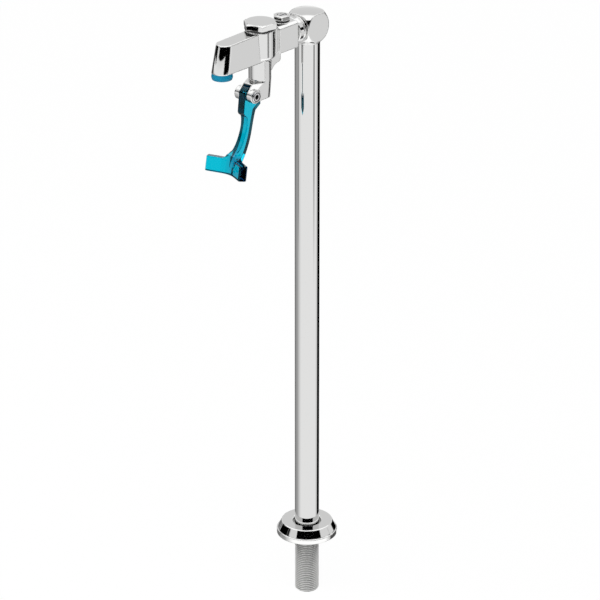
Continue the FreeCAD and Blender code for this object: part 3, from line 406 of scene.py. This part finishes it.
def nose_lean(tree):
    """Lean of the spout's end: down at its foot, up at its brow, nought behind the nose."""
    own = add_node(tree, "ShaderNodeSeparateXYZ", {0: place(tree)})
    nose_start, nose_end = (NOSE_BACK - NOSE_SOFT) * MM, (NOSE_BACK + NOSE_SOFT) * MM
    on_nose = eased(tree, own.outputs["Y"], nose_start, nose_end, 1.0, 0.0)
    inputs = {"Value": own.outputs["Z"], "From Min": NOSE_FOOT * MM, "From Max": NOSE_BROW * MM,
              "To Min": NOSE_LEAN_FOOT, "To Max": NOSE_LEAN_BROW}
    bow = add_node(tree, "ShaderNodeMapRange", inputs).outputs["Result"]
    return maths(tree, "MULTIPLY", on_nose, bow)


def cone_lean(tree):
    """Lean of the flange: up on the cone above its rim, down on the rim."""
    own = add_node(tree, "ShaderNodeSeparateXYZ", {0: place(tree)})
    cone_start, cone_end = CONE_FOOT * MM, (CONE_FOOT + CONE_SOFT) * MM
    return eased(tree, own.outputs["Z"], cone_start, cone_end, RIM_LEAN, CONE_LEAN)


chrome_pipe = chrome("chrome_pipe", (1, 1, 30), 40.0, 0.004, round_mm=0)
chrome_cast = chrome("chrome_cast", (1, 1, 1), 14.0, 0.010)
chrome_spout = chrome("chrome_spout", (1, 1, 1), 14.0, 0.010, lean=nose_lean)
chrome_turned = chrome("chrome_turned", (4, 4, 1), 20.0, 0.003, round_mm=0.7)
chrome_flange = chrome("chrome_flange", (4, 4, 1), 20.0, 0.003, round_mm=0.8, lean=cone_lean)

# %% [markdown]
# ## Screw, brass and stainless steel
# The pivot screw is bright but was never polished, so it is a little rougher than the body. Its socket
# and a ring round its head are darkened by painted shade: both are colours by distance from the screw's
# axis. The tailpiece's thread is grey nickel with painted shade in its grooves, so it is lighter on its
# crests than in its grooves, also by radius. The fittings inside are plain turned brass, and the stem and
# its spring are drawn stainless steel.

# %% Other metals
LINE_STRETCH = (40, 40, 1)
LINE_DETAIL = 3.0
LINE_DEPTH = 0.004


def turned_metal(name, colour, smoothest, roughest, line_mm, metal=1.0):
    """Metal with fine level tool lines, and a wandering roughness; less metal is more matt."""
    material, tree, shader = new_finish(name, Base_Color=colour, Metallic=metal)
    lines = speckle(tree, line_mm, place(tree, LINE_STRETCH), LINE_DETAIL)
    tree.links.new(blended(tree, lines, smoothest, roughest), shader.inputs["Roughness"])
    relief(tree, shader, lines, LINE_DEPTH)
    return material


SCREW_CENTRE = (0, -73.4 * MM, 431.4 * MM)
SOCKET_RADIUS, HEAD_GROOVE, GROOVE_HALF = 2.1, 3.5, 0.3
RING_SOFT = 0.2
RING_PAINTED_SHADE = (0.02, 0.02, 0.02, 1)


def paint_shade_rings(material, centre, rings):
    """Paints shade on the metal in dark rings about an axis along X: each ring has its radius and half
    width in mm.
    """
    tree = material.node_tree
    shader = tree.nodes["Principled BSDF"]
    radius = distance(tree, place(tree, centre=centre), (0, 1, 1))
    dark = 0.0
    for ring_radius, half_width in rings:
        off_ring = maths(tree, "SUBTRACT", radius, ring_radius * MM)
        ring = window(tree, off_ring, half_width * MM, RING_SOFT * MM)
        dark = maths(tree, "MAXIMUM", ring, dark)
    bright = tuple(shader.inputs["Base Color"].default_value)
    tree.links.new(two_tone(tree, dark, bright, RING_PAINTED_SHADE), shader.inputs["Base Color"])


screw_metal = turned_metal("screw_metal", (0.60, 0.60, 0.61, 1), 0.06, 0.16, 0.3)
screw_painted_shade = turned_metal("screw_painted_shade", (0.62, 0.62, 0.63, 1), 0.04, 0.12, 0.3)
# Painted shade: the screw's socket and a ring round its head are darkened in the colour.
paint_shade_rings(screw_painted_shade, SCREW_CENTRE, [(0, SOCKET_RADIUS), (HEAD_GROOVE, GROOVE_HALF)])
brass_metal = turned_metal("brass_metal", (0.78, 0.58, 0.28, 1), 0.16, 0.32, 0.3)
stainless_metal = turned_metal("stainless_metal", (0.58, 0.58, 0.57, 1), 0.16, 0.34, 0.25)
thread_metal = turned_metal("thread_metal", (0.46, 0.46, 0.45, 1), 0.30, 0.42, 0.2, metal=0.6)

# Painted shade in the thread's grooves: a colour that goes from dark in the grooves to light on the crests
# between two radii, in mm, takes the place of the thread's own.
GROOVE_SHADE_RADIUS, LIGHT_CREST_RADIUS = 9.6, 10.4
GROOVE_PAINTED_SHADE, CREST_COLOUR = (0.34, 0.34, 0.335, 1), (0.72, 0.72, 0.71, 1)
thread_tree = thread_metal.node_tree
from_axis = distance(thread_tree, place(thread_tree), (1, 1, 0))
on_crest = eased(thread_tree, from_axis, GROOVE_SHADE_RADIUS * MM, LIGHT_CREST_RADIUS * MM)
crest_and_groove_shade = two_tone(thread_tree, on_crest, GROOVE_PAINTED_SHADE, CREST_COLOUR)
thread_tree.links.new(crest_and_groove_shade, thread_tree.nodes["Principled BSDF"].inputs["Base Color"])

# %% [markdown]
# ## Rubber and acetal
# Seals are matt black rubber with a faint bloom, and the guide bush and flow straightener are natural
# acetal, an off-white plastic with a waxy sheen. The outlet tip is a blue moulding of the same kind.

# %% Rubber and acetal
DRIFT_MM = 6.0


def moulded(name, dark, light, roughness, grain_mm, grain_depth_mm, sheen=0.5):
    """Opaque moulding whose colour drifts between two tones and whose skin has a fine grain."""
    material, tree, shader = new_finish(name, Roughness=roughness, Specular_IOR_Level=sheen)
    drift = speckle(tree, DRIFT_MM, place(tree))
    tree.links.new(two_tone(tree, drift, dark, light), shader.inputs["Base Color"])
    relief(tree, shader, speckle(tree, grain_mm, place(tree)), grain_depth_mm)
    return material


seal_black = moulded("seal_black", (0.012, 0.012, 0.013, 1), (0.03, 0.03, 0.03, 1), 0.55, 0.25, 0.01)
acetal_white = moulded(
    "acetal_white", (0.80, 0.79, 0.75, 1), (0.87, 0.86, 0.82, 1), 0.38, 0.3, 0.006)
tip_blue = moulded(
    "tip_blue", (0.002, 0.22, 0.37, 1), (0.004, 0.25, 0.42, 1), 0.22, 0.5, 0.004, 0.15)

# %% [markdown]
# ## The clear blue lever
# The lever is moulded in a clear tinted plastic. Its broad sides are bright, because light crosses only
# seven millimetres of it there. Its edges are dark, because light that comes out of them has travelled
# the long way. A surface colour can't do that, so most of the tint is in the volume. Across those seven
# millimetres it passes almost no red, about half of the green and two thirds of the blue. The surface
# holds back some red as well. That left the narrow front edge too light, so painted shade darkens it: a
# darker surface colour stands for the light that the long way loses.

# %% Clear blue
LEVER_TINT = (0.0, 0.90, 0.94, 1)
LEVER_DENSITY = 900.0
CLEAR_TINT = (0.4, 0.98, 1.0, 1)
EDGE_PAINTED_SHADE = (0.04, 0.28, 0.30, 1)
SHINE_TINT = (0.10, 0.62, 0.85, 1)
WAVE_MM, WAVE_DEPTH = 5.0, 0.006
# The painted edge shade is full where the normal's Y is under the first value, and gone over the second.
# It stays within a span about the arm's middle, and is weaker below the pivot's boss. Spans and heights
# are in mm.
FACES_FRONT, FACES_ASIDE = -0.75, -0.35
ARM_HALF, ARM_SOFT = 6.5, 1.5
BOSS_FOOT, BOSS_SOFT = 414.0, 2
PAINTED_SHADE_BELOW_BOSS = 0.2

lever_blue, lever_tree, lever_shader = new_finish(
    "lever_blue", Roughness=0.03, IOR=1.49, Transmission_Weight=1.0, Specular_Tint=SHINE_TINT)
waves = speckle(lever_tree, WAVE_MM, place(lever_tree))
relief(lever_tree, lever_shader, waves, WAVE_DEPTH)
own_normal = add_node(lever_tree, "ShaderNodeTexCoord").outputs["Normal"]
facing = add_node(lever_tree, "ShaderNodeSeparateXYZ", {0: own_normal})
own_place = add_node(lever_tree, "ShaderNodeSeparateXYZ", {0: place(lever_tree)})
forward = eased(lever_tree, facing.outputs["Y"], FACES_FRONT, FACES_ASIDE, 1.0, 0.0)
on_arm = window(lever_tree, own_place.outputs["X"], ARM_HALF * MM, ARM_SOFT * MM)
boss_start, boss_end = (BOSS_FOOT - BOSS_SOFT) * MM, (BOSS_FOOT + BOSS_SOFT) * MM
on_boss = eased(lever_tree, own_place.outputs["Z"], boss_start, boss_end, PAINTED_SHADE_BELOW_BOSS, 1.0)
# Painted shade: the lever's front edge gets a darker surface colour in place of the light it loses.
painted_edge_shade = maths(lever_tree, "MULTIPLY", maths(lever_tree, "MULTIPLY", forward, on_arm), on_boss)
tint_and_painted_edge_shade = two_tone(lever_tree, painted_edge_shade, CLEAR_TINT, EDGE_PAINTED_SHADE)
lever_tree.links.new(tint_and_painted_edge_shade, lever_shader.inputs["Base Color"])
soaked_up = {"Color": LEVER_TINT, "Density": LEVER_DENSITY}
tint = add_node(lever_tree, "ShaderNodeVolumeAbsorption", soaked_up)
lever_tree.links.new(tint.outputs[0], lever_tree.nodes["Material Output"].inputs["Volume"])

# %% [markdown]
# ## Which finish goes where
# The nodes keep their shapes and only change their finish. Those that the table leaves out are seals.

# %% Dress the nodes
FINISH_OF = {
    "riser_tube": chrome_pipe,
    "elbow": chrome_cast,
    "valve_body": chrome_spout,
    "base_flange": chrome_flange,
    "arm_collar": chrome_turned,
    "bonnet": chrome_turned,
    "gland_nut": chrome_turned,
    "lever_screw": screw_painted_shade,
    "flow_regulator": screw_metal,
    "top_nipple": brass_metal,
    "arm_nipple": brass_metal,
    "seat_ring": brass_metal,
    "washer_retainer": brass_metal,
    "gland_washer": brass_metal,
    "valve_stem": stainless_metal,
    "return_spring": stainless_metal,
    "threaded_shank": thread_metal,
    "guide_bush": acetal_white,
    "flow_straightener": acetal_white,
    "outlet_tip": tip_blue,
    "lever": lever_blue,
}
for name, node in nodes.items():
    node.data.materials.clear()
    node.data.materials.append(FINISH_OF.get(name, seal_black))
print("finishes", len(bpy.data.materials), "nodes dressed", len(nodes))

# %% [markdown]
# ## The threaded tailpiece
# In the model the tailpiece is smooth, at the thread's outer size. In the picture it is threaded, and
# its size reads as half-inch pipe, which has fourteen turns to the inch. The thread is one surface: a
# profile turned about the axis, whose radius dips where the height, counted in turns, differs from the
# angle, counted in turns, by half. Where the end is chamfered the smaller of the two radii wins, as it
# does on a lathe.

# %% A turned surface with a thread
PITCH = 25.4 / 14 * MM
THREAD_DEPTH = 1.05 * MM
CREST_FLAT = 0.14
ROWS_PER_TURN = 12
THREAD_SEGMENTS = 96
CHAMFER_ROWS = 7
SHARP_ANGLE = math.radians(40)


def turned_piece(name, radius, height, finish):
    """A closed surface from radius and height arrays, rows along the profile and columns round the axis.

    Point (k, j) lies at radius[k, j] from the axis, at angle 2 pi j / columns, and at height[k].
    """
    rows, columns = radius.shape
    angle = np.arange(columns) * 2 * np.pi / columns
    points = np.stack([
        radius * np.cos(angle),
        radius * np.sin(angle),
        np.broadcast_to(height[:, None], radius.shape),
    ], axis=-1)
    k, j = np.meshgrid(np.arange(rows), np.arange(columns), indexing="ij")
    k2, j2 = (k + 1) % rows, (j + 1) % columns
    faces = np.stack([k * columns + j, k * columns + j2, k2 * columns + j2, k2 * columns + j], axis=-1)
    mesh = bpy.data.meshes.new(name)
    mesh.from_pydata(points.reshape(-1, 3), [], faces.reshape(-1, 4))
    mesh.polygons.foreach_set("use_smooth", np.ones(len(mesh.polygons), bool))
    mesh.set_sharp_from_angle(angle=SHARP_ANGLE)
    mesh.materials.append(finish)
    piece = bpy.data.objects.new(name, mesh)
    bpy.context.collection.objects.link(piece)
    print(name, "faces", len(mesh.polygons))
    return piece


# %% [markdown]
# The tailpiece's two ends and its widest radius are read from the node it stands for. The other sizes
# are those that the solid was drawn with. The thread runs from the chamfered end at the bottom nearly to
# the relief groove, which sits in the flange.

# %% Cut the thread
shank_low, shank_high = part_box("threaded_shank")
SHOULDER_RADIUS = shank_high.x
THREAD_RADIUS = 10.48 * MM
BORE_RADIUS = 6.5 * MM
GROOVE_RADIUS = 9.9 * MM
GROOVE_TOP = 2.0 * MM
SHOULDER_TOP = 6.0 * MM
SPIGOT_RADIUS = 8.95 * MM
END_CHAMFER = 1.0 * MM
BREAK = 0.5 * MM
RUN_OUT = 0.5 * PITCH  # the thread ends this far below the deck plane

thread_rows = round((0 - shank_low.z - END_CHAMFER) / PITCH * ROWS_PER_TURN)
cut_height = np.linspace(shank_low.z + END_CHAMFER, 0, thread_rows)
cut_rows = CHAMFER_ROWS + thread_rows
chamfer_height = np.linspace(shank_low.z, shank_low.z + END_CHAMFER, CHAMFER_ROWS + 1)[:-1]
# Above the thread: the relief groove, the shoulder, the spigot with its broken edge, then down the bore.
top_height = np.array([0, GROOVE_TOP, GROOVE_TOP, SHOULDER_TOP, SHOULDER_TOP, shank_high.z - BREAK,
                       shank_high.z, shank_high.z, shank_low.z])
top_radius = np.array([GROOVE_RADIUS, GROOVE_RADIUS, SHOULDER_RADIUS, SHOULDER_RADIUS, SPIGOT_RADIUS,
                       SPIGOT_RADIUS, SPIGOT_RADIUS - BREAK, BORE_RADIUS, BORE_RADIUS])
profile_height = np.concatenate([chamfer_height, cut_height, top_height])
profile_radius = np.concatenate([
    THREAD_RADIUS - END_CHAMFER + (chamfer_height - shank_low.z),
    np.full(thread_rows, THREAD_RADIUS),
    top_radius,
])

turns = profile_height[:, None] / PITCH - np.arange(THREAD_SEGMENTS) / THREAD_SEGMENTS
off_crest = 1 - np.abs(2 * (turns % 1) - 1)
dip = np.clip((off_crest - CREST_FLAT) / (1 - 2 * CREST_FLAT), 0, 1)
is_cut = np.arange(len(profile_height))[:, None] < cut_rows
threaded = (profile_height < -RUN_OUT)[:, None] & is_cut
cut_radius = np.where(threaded, THREAD_RADIUS - THREAD_DEPTH * dip, THREAD_RADIUS)
smooth_radius = profile_radius[:, None]
radius = np.where(is_cut, np.minimum(smooth_radius, cut_radius), smooth_radius)

shank_thread = turned_piece("shank_thread", radius, profile_height, thread_metal)
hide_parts("threaded_shank")
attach(shank_thread, "faucet")

# %% [markdown]
# ## The sizes at the end
# Last, the outer sizes of the model as it came in and as it is shown are compared, and how much they
# grew is printed.

# %% Print how much the sizes grew
shown_low, shown_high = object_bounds()
grown = (shown_high - shown_low) - (cad_high - cad_low)
print("grown by mm", [round(1000 * length, 3) for length in grown])
